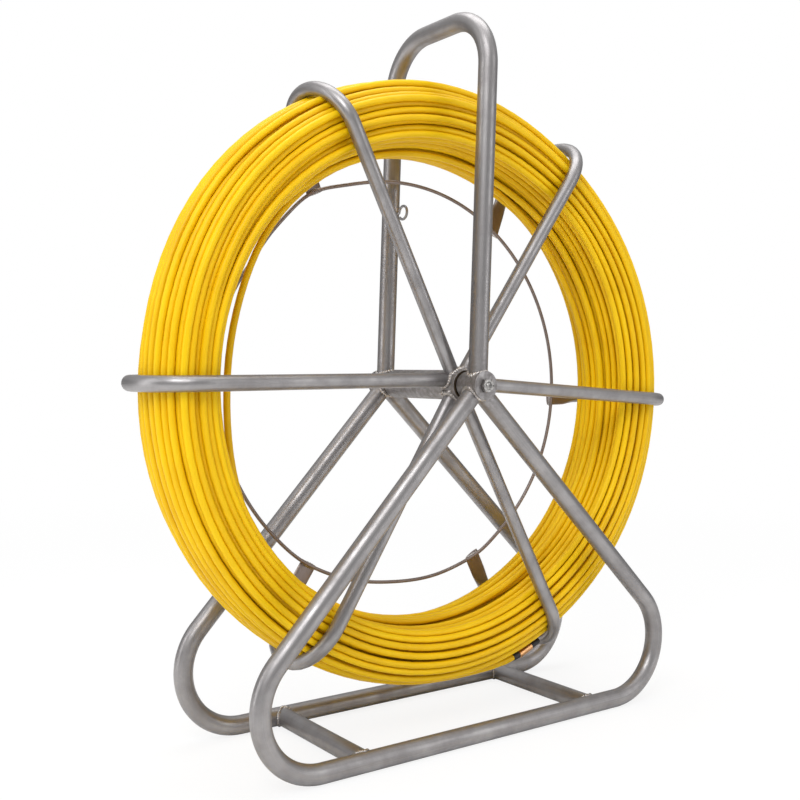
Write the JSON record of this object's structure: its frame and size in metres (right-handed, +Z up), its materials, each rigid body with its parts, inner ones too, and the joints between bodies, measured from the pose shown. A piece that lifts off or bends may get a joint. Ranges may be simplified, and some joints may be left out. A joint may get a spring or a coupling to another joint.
{
  "type": "fish tape reel",
  "caption": "Coil of yellow glass fibre rod on a spoked reel that spins freely in a bent-tube floor stand with a carrying handle.",
  "frame": {"origin": "on the floor, under the middle of the reel's axis", "axes": "+Z up, +Y along the reel's axis towards the rear frame (the one with the guide eye), +X to the right seen from the front"},
  "size_m": [0.6857, 0.2042, 0.7666],
  "materials": {
    "satin_silver": "satin silver lacquer on steel tube",
    "zinc_plate": "bright zinc plate",
    "bronze": "sintered bronze, matte",
    "yellow_rod": "smooth yellow plastic sheath",
    "fitting_brass": "turned brass, slightly dulled",
    "black_rubber": "matte black"
  },
  "bodies": {
    "stand": {"front_side_frame": "satin_silver", "rear_side_frame": "satin_silver", "left_cross_tube": "satin_silver", "right_cross_tube": "satin_silver", "carry_handle": "satin_silver", "guide_eye": "satin_silver", "axle_rod": "zinc_plate", "front_hub_sleeve": "satin_silver", "rear_hub_sleeve": "satin_silver", "front_end_washer": "satin_silver", "rear_end_washer": "satin_silver", "front_axle_nut": "zinc_plate", "rear_axle_nut": "zinc_plate"},
    "reel": {"reel_hub_tube": "satin_silver", "front_bush": "bronze", "rear_bush": "bronze", "spoke_loop_1": "satin_silver", "spoke_loop_2": "satin_silver", "spoke_loop_3": "satin_silver", "spoke_loop_4": "satin_silver", "spoke_loop_5": "satin_silver", "spoke_loop_6": "satin_silver", "rear_ring": "satin_silver", "rod_coil": "yellow_rod", "rod_end_ferrule": "fitting_brass", "rod_end_thread": "zinc_plate", "rod_end_cap": "black_rubber"}
  },
  "joints": [
    {"name": "reel_spin", "type": "hinge", "parent": "stand", "child": "reel", "pos_m": [0, 0, 0.3715], "axis": [0, 1, 0], "continuous": true}
  ]
}
